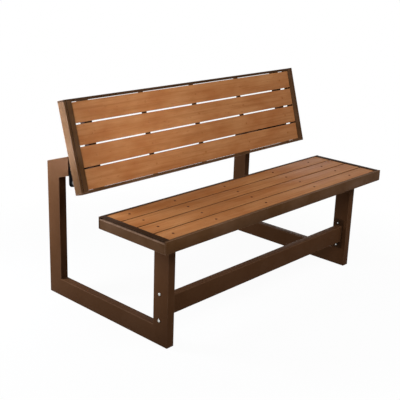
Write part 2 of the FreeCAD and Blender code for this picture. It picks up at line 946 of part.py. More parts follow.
def save_hinge():
    save_sides("hinge_bracket", hinge_bracket())
    save_sides("hinge_arm", hinge_arm())
    save_sides("clamp_knob", clamp_knob())
    save("bracket_bolts", bracket_bolts())
    save("pivot_bolts", pivot_bolts())
    save("pivot_nuts", pivot_nuts())
    save("pivot_bushes", pivot_bushes())
    save("pivot_washers", pivot_washers())
    save("hinge_bolts", hinge_bolts())
    save("lock_bolts", lock_bolts())
    save("lock_spacers", lock_spacers())


os.makedirs("parts", exist_ok=True)
save_frame()
save_seat()
save_back()
save_hinge()
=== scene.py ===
import json
import math

import bpy
from mathutils import Matrix, Vector


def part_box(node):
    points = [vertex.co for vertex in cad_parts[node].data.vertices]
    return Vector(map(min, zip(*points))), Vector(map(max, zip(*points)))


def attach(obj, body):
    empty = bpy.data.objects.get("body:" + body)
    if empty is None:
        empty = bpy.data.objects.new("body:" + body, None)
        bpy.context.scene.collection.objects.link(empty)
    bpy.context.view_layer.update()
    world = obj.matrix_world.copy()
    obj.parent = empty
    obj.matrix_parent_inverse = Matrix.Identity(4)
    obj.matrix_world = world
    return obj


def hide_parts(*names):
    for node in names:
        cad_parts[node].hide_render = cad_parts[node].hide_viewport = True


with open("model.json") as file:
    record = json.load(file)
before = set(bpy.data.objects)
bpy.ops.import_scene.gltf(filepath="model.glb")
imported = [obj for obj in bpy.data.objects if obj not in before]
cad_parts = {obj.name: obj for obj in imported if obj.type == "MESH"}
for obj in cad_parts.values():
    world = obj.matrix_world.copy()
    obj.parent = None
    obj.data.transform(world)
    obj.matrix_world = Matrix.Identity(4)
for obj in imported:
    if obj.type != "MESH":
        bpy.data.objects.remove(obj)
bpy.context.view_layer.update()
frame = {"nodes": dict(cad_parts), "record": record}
print("frame loaded:", len(frame["nodes"]), "nodes")


# camera, at the photograph's place and angle

cameraPlan = {
    "place": (-2.45217, -2.15456, 1.43434),
    "lens": 70.242,
    "yaw": 47.4242,
    "pitch": 17.9701,
    "roll": 2.004,
    "sensor": 36,
    "reach": 200,
}


def addCamera(plan):
    bpy.ops.object.camera_add(location=plan["place"])
    camera = bpy.context.active_object
    turn = Matrix.Rotation(math.radians(-plan["yaw"]), 3, "Z")
    turn = turn @ Matrix.Rotation(math.radians(90 - plan["pitch"]), 3, "X")
    turn = turn @ Matrix.Rotation(math.radians(plan["roll"]), 3, "Z")
    camera.rotation_euler = turn.to_euler()
    camera.data.lens = plan["lens"]
    camera.data.sensor_width = plan["sensor"]
    camera.data.clip_end = plan["reach"]
    bpy.context.scene.camera = camera


addCamera(cameraPlan)
print("camera placed")


# node helpers

def addNode(tree, kind, values=None, links=None, **settings):
    node = tree.nodes.new(kind)
    for name, value in settings.items():
        setattr(node, name, value)
    for name, value in (values or {}).items():
        node.inputs[name].default_value = value
    for name, socket in (links or {}).items():
        tree.links.new(socket, node.inputs[name])
    return node


# the Mix node's sockets share their names, so the ones for colours are given by number
def mixColours(tree, factor, first, second):
    node = tree.nodes.new("ShaderNodeMix")
    node.data_type = "RGBA"
    for index, value in ((0, factor), (6, first), (7, second)):
        if isinstance(value, bpy.types.NodeSocket):
            tree.links.new(value, node.inputs[index])
        else:
            node.inputs[index].default_value = value
    return node.outputs[2]


def spread(tree, socket, low, high, toLow=0.0, toHigh=1.0):
    node = addNode(
        tree, "ShaderNodeMapRange",
        {"From Min": low, "From Max": high, "To Min": toLow, "To Max": toHigh}, {"Value": socket},
    )
    return node.outputs["Result"]


def calculate(tree, operation, first, second):
    node = tree.nodes.new("ShaderNodeMath")
    node.operation = operation
    for index, value in enumerate((first, second)):
        if isinstance(value, bpy.types.NodeSocket):
            tree.links.new(value, node.inputs[index])
        else:
            node.inputs[index].default_value = value
    return node.outputs[0]


usualRoughness = 0.55


def stretchedNoise(tree, vector, plan):
    mapping = addNode(tree, "ShaderNodeMapping", {"Scale": plan.get("size", (1, 1, 1))}, {"Vector": vector})
    roughness = plan.get("roughness", usualRoughness)
    values = {"Scale": plan["scale"], "Detail": plan["detail"], "Roughness": roughness}
    noise = addNode(tree, "ShaderNodeTexNoise", values, {"Vector": mapping.outputs[0]})
    return noise.outputs[0]


# how strongly a noise shows: its range opened to 0..1, times its strength
def veil(tree, noise, plan):
    return calculate(tree, "MULTIPLY", spread(tree, noise, *plan["range"]), plan["strength"])


# every skin reads a place, colours and values, and gives a colour, a roughness and a height
def startSkin(name, colours, values):
    group = bpy.data.node_groups.new(name, "ShaderNodeTree")
    group.interface.new_socket("Vector", in_out="INPUT", socket_type="NodeSocketVector")
    for label in colours:
        group.interface.new_socket(label, in_out="INPUT", socket_type="NodeSocketColor")
    for label in values:
        group.interface.new_socket(label, in_out="INPUT", socket_type="NodeSocketFloat")
    group.interface.new_socket("Colour", in_out="OUTPUT", socket_type="NodeSocketColor")
    for label in ("Roughness", "Height"):
        group.interface.new_socket(label, in_out="OUTPUT", socket_type="NodeSocketFloat")
    return group, group.nodes.new("NodeGroupInput"), group.nodes.new("NodeGroupOutput")


# a colour as pictures write it, made linear
def hexColour(text):
    parts = [int(text[i:i + 2], 16) / 255 for i in (1, 3, 5)]
    linear = [p / 12.92 if p <= 0.04045 else ((p + 0.055) / 1.055) ** 2.4 for p in parts]
    return (*linear, 1.0)


# timber: soft clouds, streaks and fine fibres that run along X, dark specks, and painted shade on the long
# sides in the gaps
timberPlan = {
    "cloud": {"size": (1, 3, 3), "scale": 5, "detail": 3, "range": (0.35, 0.68)},
    "streak": {"size": (1.1, 60, 60), "scale": 2, "detail": 4, "roughness": 0.6, "range": (0.47, 0.72),
               "strength": 0.42},
    "fibre": {"size": (7, 420, 420), "scale": 1.5, "detail": 3, "roughness": 0.65, "range": (0.5, 0.75),
              "strength": 0.3},
    "speck": {"size": (40, 130, 130), "scale": 1.4, "detail": 2, "range": (0.64, 0.74), "strength": 0.5},
    "gapShadeColour": (0.02, 0.007, 0.003, 1),
    "gapShadeRange": (0.3, 0.7, 0.55, 0.85),
    "matt": (0.3, 0.75, 0.52, 0.7),
    "streakHeight": 0.5,
}


def timberGrain(plan):
    group, inside, result = startSkin("timberGrain", ("Pale", "Middle", "Deep"), ("Board", "Side"))
    # every board reads its own part of the pattern
    board, deep = inside.outputs["Board"], inside.outputs["Deep"]
    shift = addNode(group, "ShaderNodeCombineXYZ", {}, {"X": board, "Z": board})
    moved = addNode(group, "ShaderNodeVectorMath", operation="ADD")
    group.links.new(inside.outputs["Vector"], moved.inputs[0])
    group.links.new(shift.outputs[0], moved.inputs[1])
    place = moved.outputs[0]
    cloud = stretchedNoise(group, place, plan["cloud"])
    streak = stretchedNoise(group, place, plan["streak"])
    fibre = stretchedNoise(group, place, plan["fibre"])
    speck = stretchedNoise(group, place, plan["speck"])
    clouds = spread(group, cloud, *plan["cloud"]["range"])
    base = mixColours(group, clouds, inside.outputs["Middle"], inside.outputs["Pale"])
    for noise, name in ((streak, "streak"), (fibre, "fibre"), (speck, "speck")):
        base = mixColours(group, veil(group, noise, plan[name]), base, deep)
    # painted shade on the long sides, broken by the fibres
    gapShade = spread(group, fibre, *plan["gapShadeRange"])
    gapShade = calculate(group, "MULTIPLY", inside.outputs["Side"], gapShade)
    base = mixColours(group, gapShade, base, plan["gapShadeColour"])
    group.links.new(base, result.inputs["Colour"])
    group.links.new(spread(group, streak, *plan["matt"]), result.inputs["Roughness"])
    height = calculate(group, "MULTIPLY", streak, plan["streakHeight"])
    group.links.new(calculate(group, "ADD", height, fibre), result.inputs["Height"])
    return group


# paint: fine orange peel, broad cloudiness, paler edges that are partly worn and partly a painted highlight,
# and painted shade on chosen parts
paintPlan = {
    "cloud": {"scale": 7, "detail": 3, "range": (0.35, 0.7), "strength": 0.16},
    "scuff": {"scale": 46, "detail": 4, "roughness": 0.7},
    "peel": {"scale": 620, "detail": 2},
    "wearAndHighlightRange": (0.3, 0.62, 0.35, 1.0),
    "wearAndHighlightShare": 0.55,
    "paintedShadeColour": (0.012, 0.004, 0.001, 1),
    "paintedShadeShare": 0.8,
    "mattRange": (0.3, 0.75, -0.06, 0.1),
}


def paintSkin(plan):
    group, inside, result = startSkin("paintSkin", ("Paint", "WearAndHighlight"), ("Edge", "Shade", "Matt"))
    place, wearAndHighlight = inside.outputs["Vector"], inside.outputs["WearAndHighlight"]
    cloud = stretchedNoise(group, place, plan["cloud"])
    scuff = stretchedNoise(group, place, plan["scuff"])
    base = mixColours(group, veil(group, cloud, plan["cloud"]), inside.outputs["Paint"], wearAndHighlight)
    # paler edges: partly worn, partly a painted highlight
    wearAndHighlightMask = calculate(group, "MULTIPLY", spread(group, scuff, *plan["wearAndHighlightRange"]), inside.outputs["Edge"])
    base = mixColours(group, calculate(group, "MULTIPLY", wearAndHighlightMask, plan["wearAndHighlightShare"]), base, wearAndHighlight)
    # painted shade: the paint mixed towards a near-black brown
    shade = calculate(group, "MULTIPLY", inside.outputs["Shade"], plan["paintedShadeShare"])
    base = mixColours(group, shade, base, plan["paintedShadeColour"])
    group.links.new(base, result.inputs["Colour"])
    rough = calculate(group, "ADD", inside.outputs["Matt"], spread(group, scuff, *plan["mattRange"]))
    group.links.new(rough, result.inputs["Roughness"])
    group.links.new(stretchedNoise(group, place, plan["peel"]), result.inputs["Height"])
    return group


# metal: brushed and faintly stained
metalPlan = {
    "patch": {"scale": 160, "detail": 4, "roughness": 0.65},
    "brush": {"size": (90, 1500, 1500), "scale": 1, "detail": 2},
    "stainRange": (0.4, 0.72),
    "mattRange": (0.3, 0.7, -0.05, 0.15),
}


def metalSkin(plan):
    group, inside, result = startSkin("metalSkin", ("Metal", "Stain"), ("Matt",))
    place = inside.outputs["Vector"]
    patch = stretchedNoise(group, place, plan["patch"])
    stained = spread(group, patch, *plan["stainRange"])
    base = mixColours(group, stained, inside.outputs["Metal"], inside.outputs["Stain"])
    group.links.new(base, result.inputs["Colour"])
    rough = calculate(group, "ADD", inside.outputs["Matt"], spread(group, patch, *plan["mattRange"]))
    group.links.new(rough, result.inputs["Roughness"])
    group.links.new(stretchedNoise(group, place, plan["brush"]), result.inputs["Height"])
    return group


skins = {"timber": timberGrain(timberPlan), "paint": paintSkin(paintPlan), "metal": metalSkin(metalPlan)}

# strength and depth in metres of each skin's bump
reliefPlan = {
    "timber": (0.35, 0.0006), "paint": (0.25, 0.0002), "metal": (0.15, 0.0001), "knob": (0.35, 0.0003),
}


def startMaterial(name):
    material = bpy.data.materials.new(name)
    material.use_nodes = True
    tree = material.node_tree
    tree.nodes.clear()
    output = tree.nodes.new("ShaderNodeOutputMaterial")
    shader = addNode(tree, "ShaderNodeBsdfPrincipled")
    tree.links.new(shader.outputs[0], output.inputs["Surface"])
    return material, tree, shader


def connectSkin(tree, shader, skin, values, relief):
    place = addNode(tree, "ShaderNodeTexCoord").outputs["Object"]
    group = addNode(tree, "ShaderNodeGroup", node_tree=skins[skin])
    for name, value in values.items():
        group.inputs[name].default_value = value
    tree.links.new(place, group.inputs["Vector"])
    tree.links.new(group.outputs["Colour"], shader.inputs["Base Color"])
    tree.links.new(group.outputs["Roughness"], shader.inputs["Roughness"])
    strength, depth = relief
    height = group.outputs["Height"]
    bump = addNode(tree, "ShaderNodeBump", {"Strength": strength, "Distance": depth}, {"Height": height})
    tree.links.new(bump.outputs[0], shader.inputs["Normal"])
    return group


# the attribute "edge" says where a painted piece's edges are paler, partly worn and partly a painted
# highlight, and "shade" says where painted shade darkens it
def paintMaterial(name, paint, wearAndHighlight, matt, gloss, relief="paint"):
    material, tree, shader = startMaterial(name)
    shader.inputs["Specular IOR Level"].default_value = gloss
    group = connectSkin(
        tree, shader, "paint",
        {"Paint": hexColour(paint), "WearAndHighlight": hexColour(wearAndHighlight), "Matt": matt}, reliefPlan[relief],
    )
    for label in ("Edge", "Shade"):
        mark = addNode(tree, "ShaderNodeAttribute", attribute_name=label.lower())
        tree.links.new(mark.outputs["Fac"], group.inputs[label])
    return material


def timberMaterial(name, pale, middle, deep, gloss):
    material, tree, shader = startMaterial(name)
    shader.inputs["Specular IOR Level"].default_value = gloss
    group = connectSkin(
        tree, shader, "timber",
        {"Pale": hexColour(pale), "Middle": hexColour(middle), "Deep": hexColour(deep)},
        reliefPlan["timber"],
    )
    for label in ("Board", "Side"):
        mark = addNode(tree, "ShaderNodeAttribute", attribute_name=label.lower())
        tree.links.new(mark.outputs["Fac"], group.inputs[label])
    return material


def metalMaterial(name, metal, stain, matt, metallic):
    material, tree, shader = startMaterial(name)
    shader.inputs["Metallic"].default_value = metallic
    connectSkin(
        tree, shader, "metal",
        {"Metal": hexColour(metal), "Stain": hexColour(stain), "Matt": matt}, reliefPlan["metal"],
    )
    return material


finishes = {
    "frame_paint": paintMaterial("framePaint", paint="#53351f", wearAndHighlight="#765640", matt=0.58, gloss=0.03),
    # the rail paint's pale edge colour is strong, as a painted highlight along the rounded rail edges
    "rail_paint": paintMaterial("railPaint", paint="#53371f", wearAndHighlight="#a0806a", matt=0.55, gloss=0.03),
    # the batten paint is darker than the frame's, partly as painted shade for the battens in the shade behind
    # the planks
    "batten_paint": paintMaterial("battenPaint", paint="#28150a", wearAndHighlight="#5a3d2c", matt=0.5, gloss=0.05),
    "plank_wood": timberMaterial("plankTimber", pale="#ba804e", middle="#a56634", deep="#844b22", gloss=0.17),
    # the dark screw paint is partly a painted shade for the seat screws' recesses
    "screw_paint": paintMaterial("screwPaint", paint="#4a2014", wearAndHighlight="#a56a3c", matt=0.5, gloss=0.1),
    "zinc": metalMaterial("zincPlate", metal="#d6d6d2", stain="#b2b1ab", matt=0.28, metallic=1.0),
    "dark_steel": metalMaterial("darkSteel", metal="#3a3836", stain="#24211f", matt=0.42, metallic=0.6),
    "hinge_black": paintMaterial("hingeBlack", paint="#040404", wearAndHighlight="#0b0a09", matt=0.6, gloss=0.005),
    "bush_plastic": paintMaterial("bushNylon", paint="#cbc8bd", wearAndHighlight="#b5b1a4", matt=0.5, gloss=0.4),
    "glide_plastic": paintMaterial("glideRubber", paint="#1f1e1e", wearAndHighlight="#2c2b2a", matt=0.6, gloss=0.3),
    "knob_plastic": paintMaterial("knobPlastic", paint="#1b1b1c", wearAndHighlight="#303031", matt=0.45, gloss=0.4,
                                  relief="knob"),
}
print("materials made:", len(finishes))


# modelling helpers

# angles in degrees past which an edge is rounded: all corners, steep ones, square ones, slight ones
cornerAngles = {"any": 30, "steep": 50, "square": 60, "slight": 15}
smoothAngle = 38
narrowFace = 0.0045
shortest = 1e-5
closeBy = 2e-4
sameSpot = 1e-6
# how much of a direction has to lie along an axis: for an edge, a head's top, a plank's side
alongEdge = 0.999
alongTop = 0.9
alongSide = 0.7


def deselectAll():
    if bpy.context.mode != "OBJECT":
        bpy.ops.object.mode_set(mode="OBJECT")
    bpy.ops.object.select_all(action="DESELECT")


def makeActive(piece):
    deselectAll()
    piece.select_set(True)
    bpy.context.view_layer.objects.active = piece


def applyPlace(piece):
    makeActive(piece)
    bpy.ops.object.transform_apply(location=True, rotation=True, scale=True)


def nameIt(piece, name):
    piece.name = name
    piece.data.name = name
    return piece


def addBlock(name, low, high):
    deselectAll()
    middle = [(a + b) / 2 for a, b in zip(low, high)]
    bpy.ops.mesh.primitive_cube_add(size=1, location=middle)
    block = nameIt(bpy.context.active_object, name)
    block.scale = [b - a for a, b in zip(low, high)]
    applyPlace(block)
    return block


# a round bar whose axis runs along Z until it is turned
def addRound(name, sides, radius, length, place):
    deselectAll()
    bpy.ops.mesh.primitive_cylinder_add(vertices=sides, radius=radius, depth=length, location=place)
    bar = nameIt(bpy.context.active_object, name)
    applyPlace(bar)
    return bar


def clearPicks(mesh):
    for parts in (mesh.vertices, mesh.edges, mesh.polygons):
        parts.foreach_set("select", [False] * len(parts))


def pickEdges(piece, wanted):
    makeActive(piece)
    bpy.context.tool_settings.mesh_select_mode = (False, True, False)
    clearPicks(piece.data)
    points = piece.data.vertices
    for edge in piece.data.edges:
        first, second = (points[i].co for i in edge.vertices)
        edge.select = wanted(first, second)
    bpy.ops.object.mode_set(mode="EDIT")


def pickFaces(piece, wanted):
    makeActive(piece)
    bpy.context.tool_settings.mesh_select_mode = (False, False, True)
    clearPicks(piece.data)
    for face in piece.data.polygons:
        face.select = wanted(face.center, face.normal)
    bpy.ops.object.mode_set(mode="EDIT")


def pickFaceNear(piece, place):
    nearest = min(piece.data.polygons, key=lambda face: (face.center - Vector(place)).length)
    spot = nearest.center.copy()
    pickFaces(piece, lambda centre, normal: (centre - spot).length < sameSpot)


def leaveEdit():
    bpy.ops.object.mode_set(mode="OBJECT")


def bevelPicked(width, segments):
    bpy.ops.mesh.bevel(offset=width, segments=segments, affect="EDGES")
    leaveEdit()


def runsAlong(axis):
    def test(first, second):
        run = second - first
        return abs(run[axis]) > alongEdge * run.length
    return test


# edges that run along one axis and pass near a place, given on the other two axes
def edgeAt(axis, place):
    def test(first, second):
        if not runsAlong(axis)(first, second):
            return False
        return all(abs(first[i] - value) < closeBy for i, value in place.items())
    return test


def bevelSharp(piece, width, segments, corners="any"):
    makeActive(piece)
    bpy.context.tool_settings.mesh_select_mode = (False, True, False)
    bpy.ops.object.mode_set(mode="EDIT")
    bpy.ops.mesh.select_all(action="DESELECT")
    bpy.ops.mesh.edges_select_sharp(sharpness=math.radians(cornerAngles[corners]))
    bevelPicked(width, segments)


def sliceAt(piece, axis, value):
    makeActive(piece)
    bpy.ops.object.mode_set(mode="EDIT")
    bpy.ops.mesh.select_all(action="SELECT")
    place = [0, 0, 0]
    place[axis] = value
    direction = [0, 0, 0]
    direction[axis] = 1
    bpy.ops.mesh.bisect(plane_co=place, plane_no=direction)
    leaveEdit()


def extrudePicked(move):
    bpy.ops.mesh.extrude_region_move(TRANSFORM_OT_translate={"value": move})
    leaveEdit()


def movePicked(move):
    bpy.ops.transform.translate(value=move)
    leaveEdit()


def turnNormalsOut(piece):
    makeActive(piece)
    bpy.ops.object.mode_set(mode="EDIT")
    bpy.ops.mesh.select_all(action="SELECT")
    bpy.ops.mesh.normals_make_consistent(inside=False)
    leaveEdit()


def mirrorCopy(piece, name):
    copy = piece.copy()
    copy.data = piece.data.copy()
    bpy.context.scene.collection.objects.link(copy)
    nameIt(copy, name)
    copy.scale = (-1, 1, 1)
    applyPlace(copy)
    turnNormalsOut(copy)
    return copy


def joinAll(name, pieces):
    deselectAll()
    for piece in pieces:
        piece.select_set(True)
    bpy.context.view_layer.objects.active = pieces[0]
    bpy.ops.object.join()
    return nameIt(bpy.context.active_object, name)


# copies of one small part at many places, joined into one piece
def scatter(name, part, places):
    copies = []
    for place in places:
        copy = part.copy()
        copy.data = part.data.copy()
        bpy.context.scene.collection.objects.link(copy)
        copy.matrix_world = place @ part.matrix_world
        copies.append(copy)
    bpy.data.objects.remove(part)
    joined = joinAll(name, copies)
    applyPlace(joined)
    return joined


# narrow faces are the rounded edges, which the paint shows paler: partly worn, partly a painted highlight
# where the rounded edges catch the light
def markEdges(piece):
    marks = piece.data.attributes.new("edge", "FLOAT", "FACE")
    for index, face in enumerate(piece.data.polygons):
        points = [piece.data.vertices[i].co for i in face.vertices]
        longest = max((points[i] - points[i - 1]).length for i in range(len(points)))
        narrow = face.area < narrowFace * max(longest, shortest)
        marks.data[index].value = 1.0 if narrow else 0.0


# painted shade on parts of a piece, from 0 to 1, darkening its paint where shade falls
def shadeFaces(piece, amount):
    marks = piece.data.attributes.new("shade", "FLOAT", "FACE")
    marks.data.foreach_set("value", [amount] * len(piece.data.polygons))


def finishPiece(piece, body, slotName, *nodes):
    applyPlace(piece)
    bpy.ops.object.shade_smooth_by_angle(angle=math.radians(smoothAngle))
    piece.data.materials.clear()
    piece.data.materials.append(finishes[slotName])
    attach(piece, body)
    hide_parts(*nodes)
    return piece


# a right piece and its mirror image on the left; settle moves them to their place first
def finishBothSides(right, name, body, slotName, nodes, settle=None):
    left = mirrorCopy(right, name + "Left")
    for piece, side in ((right, "right"), (left, "left")):
        markEdges(piece)
        if settle:
            settle(piece)
        finishPiece(piece, body, slotName, *[node + side for node in nodes])


# the back is modelled upright with its front foot at the origin, then leant
backPlan = {"lean": 16.5, "footY": 0.0557, "footZ": 0.533, "height": 0.361, "depth": 0.0385}


def leanBack(piece):
    piece.rotation_euler = (math.radians(-backPlan["lean"]), 0, 0)
    piece.location = (0, backPlan["footY"], backPlan["footZ"])
    applyPlace(piece)
    return piece


# planks

plankPlan = {
    "count": 4, "width": 0.0792, "pitch": 0.0852, "thick": 0.016, "edge": 0.0012, "endEdge": 0.0005,
    "seatMargin": 0.01095, "backMargin": 0.0131, "backFront": 0.0015, "backReach": 0.664,
    "seatGrain": (1.3, 3.7), "backGrain": (21.9, 5.3),
}


# the attribute "side" marks the long sides, which are darkened in streaks as painted shade in the gaps
# between planks
def shapePlank(name, low, high, board, across):
    plank = addBlock(name, low, high)
    pickEdges(plank, runsAlong(0))
    bevelPicked(plankPlan["edge"], 4)
    bevelSharp(plank, plankPlan["endEdge"], 2, "square")
    boards = plank.data.attributes.new("board", "FLOAT", "POINT")
    boards.data.foreach_set("value", [board] * len(plank.data.vertices))
    sides = plank.data.attributes.new("side", "FLOAT", "FACE")
    for index, face in enumerate(plank.data.polygons):
        sides.data[index].value = 1.0 if abs(face.normal[across]) > alongSide else 0.0
    return plank


# where on the grain a board begins
def grainAt(grain, index):
    first, step = grain
    return step * index + first


for index in range(plankPlan["count"]):
    node = "seat_plank_" + str(index + 1)
    low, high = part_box(node)
    plank = shapePlank("seatPlank" + str(index + 1), low, high, grainAt(plankPlan["seatGrain"], index), 1)
    finishPiece(plank, "frame", "plank_wood", node)

for index in range(plankPlan["count"]):
    foot = plankPlan["backMargin"] + index * plankPlan["pitch"]
    front = plankPlan["backFront"]
    reach = plankPlan["backReach"]
    plank = shapePlank(
        "backPlank" + str(index + 1), (-reach, front, foot),
        (reach, front + plankPlan["thick"], foot + plankPlan["width"]),
        grainAt(plankPlan["backGrain"], index), 2,
    )
    finishPiece(leanBack(plank), "back", "plank_wood", "back_plank_" + str(index + 1))
print("planks shaped")


# seat rails

seatRailPlan = {
    "thick": 0.007, "cornerRadius": 0.003, "topEdge": 0.001, "endEdge": 0.0005,
    "lip": 0.0123, "lipThick": 0.0015, "lipReach": 0.671, "lipEdge": 0.0003,
    "flangeThick": 0.005, "flangeReach": 0.65, "flangeEdge": 0.0006, "rearShade": 0.7,
}


def shapeSeatRail(name, node, frontFace, backFace, outerY):
    plan = seatRailPlan
    low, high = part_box(node)
    web = addBlock(name, (low.x, frontFace, low.z), (high.x, backFace, high.z))
    for end in (low.x, high.x):
        pickEdges(web, edgeAt(1, {0: end, 2: low.z}))
        bevelPicked(plan["cornerRadius"], 5)
    pickEdges(web, edgeAt(0, {1: outerY, 2: high.z}))
    bevelPicked(plan["topEdge"], 3)
    bevelSharp(web, plan["endEdge"], 2)
    isFront = outerY == low.y
    if isFront:
        lipFront, lipBack = backFace, outerY + plan["lip"]
        flangeFront, flangeBack = backFace, high.y
    else:
        lipFront, lipBack = outerY - plan["lip"], frontFace
        flangeFront, flangeBack = low.y, frontFace
    lip = addBlock(
        name + "Lip", (-plan["lipReach"], lipFront, high.z - plan["lipThick"]),
        (plan["lipReach"], lipBack, high.z),
    )
    bevelSharp(lip, plan["lipEdge"], 1)
    flange = addBlock(
        name + "Flange", (-plan["flangeReach"], flangeFront, low.z),
        (plan["flangeReach"], flangeBack, low.z + plan["flangeThick"]),
    )
    bevelSharp(flange, plan["flangeEdge"], 1)
    rail = joinAll(name, [web, lip, flange])
    # the rear rail is darkened all over by painted shade
    shadeFaces(rail, 0.0 if isFront else plan["rearShade"])
    markEdges(rail)
    finishPiece(rail, "frame", "rail_paint", node)


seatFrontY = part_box("seat_front_rail")[0].y
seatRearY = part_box("seat_rear_rail")[1].y
webThick = seatRailPlan["thick"]
shapeSeatRail("seatFrontRail", "seat_front_rail", seatFrontY, seatFrontY + webThick, seatFrontY)
shapeSeatRail("seatRearRail", "seat_rear_rail", seatRearY - webThick, seatRearY, seatRearY)


# end rails: a rounded tube, a recess in the outer side above it, and a flat strip on top

seatEndPlan = {
    "inner": 0.671, "outer": 0.6985, "recess": 0.690, "strip": 0.695, "front": -0.3862, "back": -0.0435,
    "bottom": 0.4245, "shoulder": 0.4657, "stripLow": 0.4705, "top": 0.4725,
    "round": 0.005, "corner": 0.0015, "stripEdge": 0.0004, "fineEdge": 0.0003, "stripShade": 1.0,
    "shelf": 0.655, "shelfLow": 0.450, "shelfHigh": 0.455, "shelfEdge": 0.0005,
}


def shapeSeatEnd(plan):
    inner, outer, front, back = plan["inner"], plan["outer"], plan["front"], plan["back"]
    shoulder, stripLow = plan["shoulder"], plan["stripLow"]
    tube = addBlock("seatEndTube", (inner, front, plan["bottom"]), (outer, back, shoulder))
    pickEdges(tube, edgeAt(1, {0: outer, 2: shoulder}))
    bevelPicked(plan["round"], 6)
    pickEdges(tube, edgeAt(1, {0: outer, 2: plan["bottom"]}))
    bevelPicked(plan["corner"], 3)
    neck = addBlock("seatEndNeck", (inner, front, shoulder), (plan["recess"], back, stripLow))
    strip = addBlock("seatEndStrip", (inner, front, stripLow), (plan["strip"], back, plan["top"]))
    bevelSharp(strip, plan["stripEdge"], 2)
    # the recess and the top strip are darkened by painted shade
    shadeFaces(tube, 0.0)
    shadeFaces(neck, 1.0)
    shadeFaces(strip, plan["stripShade"])
    rail = joinAll("seatEndRailRight", [tube, neck, strip])
    bevelSharp(rail, plan["fineEdge"], 1, "steep")
    ledge = addBlock(
        "seatEndLedge", (plan["shelf"], front, plan["shelfLow"]), (inner, back, plan["shelfHigh"]),
    )
    bevelSharp(ledge, plan["shelfEdge"], 1)
    return joinAll("seatEndRailRight", [rail, ledge])


finishBothSides(shapeSeatEnd(seatEndPlan), "seatEndRail", "frame", "rail_paint", ["seat_end_rail_"])
print("seat rails shaped")


# back rails

backRailPlan = {
    "half": 0.7015, "thick": 0.007, "edge": 0.001, "endEdge": 0.0005, "lipThick": 0.0015, "lipReach": 0.667,
    "lipEdge": 0.0003, "bottomLip": 0.0126, "topLip": 0.0114, "topShade": 0.6,
}


def shapeBackRail(name, foot, lipLow, lipHigh, node, shade):
    plan = backRailPlan
    rail = addBlock(name, (-plan["half"], 0, foot), (plan["half"], backPlan["depth"], foot + plan["thick"]))
    pickEdges(rail, runsAlong(0))
    bevelPicked(plan["edge"], 3)
    bevelSharp(rail, plan["endEdge"], 2, "square")
    reach = plan["lipReach"]
    lip = addBlock(name + "Lip", (-reach, 0, lipLow), (reach, plan["lipThick"], lipHigh))
    bevelSharp(lip, plan["lipEdge"], 1)
    rail = joinAll(name, [rail, lip])
    shadeFaces(rail, shade)
    markEdges(rail)
    finishPiece(leanBack(rail), "back", "rail_paint", node)


# each lip starts a little inside its rail's rounded edge, so that the front face is one plane
railThick = backRailPlan["thick"]
lipStart = railThick - 1.5 * backRailPlan["edge"]
backTop = backPlan["height"]
shapeBackRail("backBottomRail", 0, lipStart, backRailPlan["bottomLip"], "back_bottom_rail", 0.0)
# the top rail is darkened by painted shade
shapeBackRail(
    "backTopRail", backTop - railThick, backTop - backRailPlan["topLip"], backTop - lipStart,
    "back_top_rail", backRailPlan["topShade"],
)

backEndPlan = {
    "inner": 0.667, "outer": 0.7015, "edge": 0.001, "fineEdge": 0.0004,
    "groove": 0.6882, "lip": 0.6907, "grooveDepth": 0.0285, "grooveMouth": 0.0008,
    "shelf": 0.652, "shelfFront": 0.0175, "shelfRear": 0.0275, "shelfEdge": 0.0005,
}


def shapeBackEnd(plan):
    foot = backRailPlan["thick"]
    top = backPlan["height"] - foot
    rail = addBlock("backEndRailRight", (plan["inner"], 0, foot), (plan["outer"], backPlan["depth"], top))
    sliceAt(rail, 0, plan["groove"])
    sliceAt(rail, 0, plan["lip"])
    pickFaceNear(rail, ((plan["groove"] + plan["lip"]) / 2, 0, (foot + top) / 2))
    extrudePicked((0, plan["grooveDepth"], 0))
    for depth in (0, backPlan["depth"]):
        pickEdges(rail, edgeAt(2, {0: plan["outer"], 1: depth}))
        bevelPicked(plan["edge"], 3)
    bevelSharp(rail, plan["fineEdge"], 2, "steep")
    # the groove's inner faces and the ledge behind the plank ends are darkened by painted shade
    shadeFaces(rail, 0.0)
    marks = rail.data.attributes["shade"].data
    for index, face in enumerate(rail.data.polygons):
        centre = face.center
        between = plan["groove"] - closeBy / 2 < centre.x < plan["lip"] + closeBy / 2
        if between and centre.y > plan["grooveMouth"]:
            marks[index].value = 1.0
    ledge = addBlock(
        "backEndLedge", (plan["shelf"], plan["shelfFront"], foot), (plan["inner"], plan["shelfRear"], top),
    )
    bevelSharp(ledge, plan["shelfEdge"], 1)
    shadeFaces(ledge, 1.0)
    return joinAll("backEndRailRight", [rail, ledge])


finishBothSides(
    shapeBackEnd(backEndPlan), "backEndRail", "back", "rail_paint", ["back_end_rail_"], settle=leanBack,
)


# uprights and battens behind the back planks

uprightPlan = {
    "round": 0.0015,
    "batten": {"width": 0.021, "depth": 0.010},
    "post": {"width": 0.037, "depth": 0.0275},
    "places": (
        ("back_batten_1", "backBatten1", "batten", -0.297),
        ("back_batten_2", "backBatten2", "batten", 0.0),
        ("back_batten_3", "backBatten3", "batten", 0.297),
        ("back_post_left", "backUprightLeft", "post", -0.592),
        ("back_post_right", "backUprightRight", "post", 0.592),
    ),
}

for node, name, kind, middle in uprightPlan["places"]:
    half = uprightPlan[kind]["width"] / 2
    front = plankPlan["backFront"] + plankPlan["thick"]
    upright = addBlock(
        name, (middle - half, front, railThick),
        (middle + half, front + uprightPlan[kind]["depth"], backTop - railThick),
    )
    pickEdges(upright, runsAlong(2))
    bevelPicked(uprightPlan["round"], 3)
    markEdges(upright)
    finishPiece(leanBack(upright), "back", "batten_paint", node)
print("back shaped")


# side frames: one run of tube with mitred and ground corners

sideFramePlan = {
    "inner": 0.574, "outer": 0.610, "front": -0.3194, "back": 0.3948, "floor": 0.002, "deep": 0.076,
    "postTop": 0.3885, "rearTop": 0.582, "rise": 17.5, "armFront": 0.2575, "round": 0.002,
}


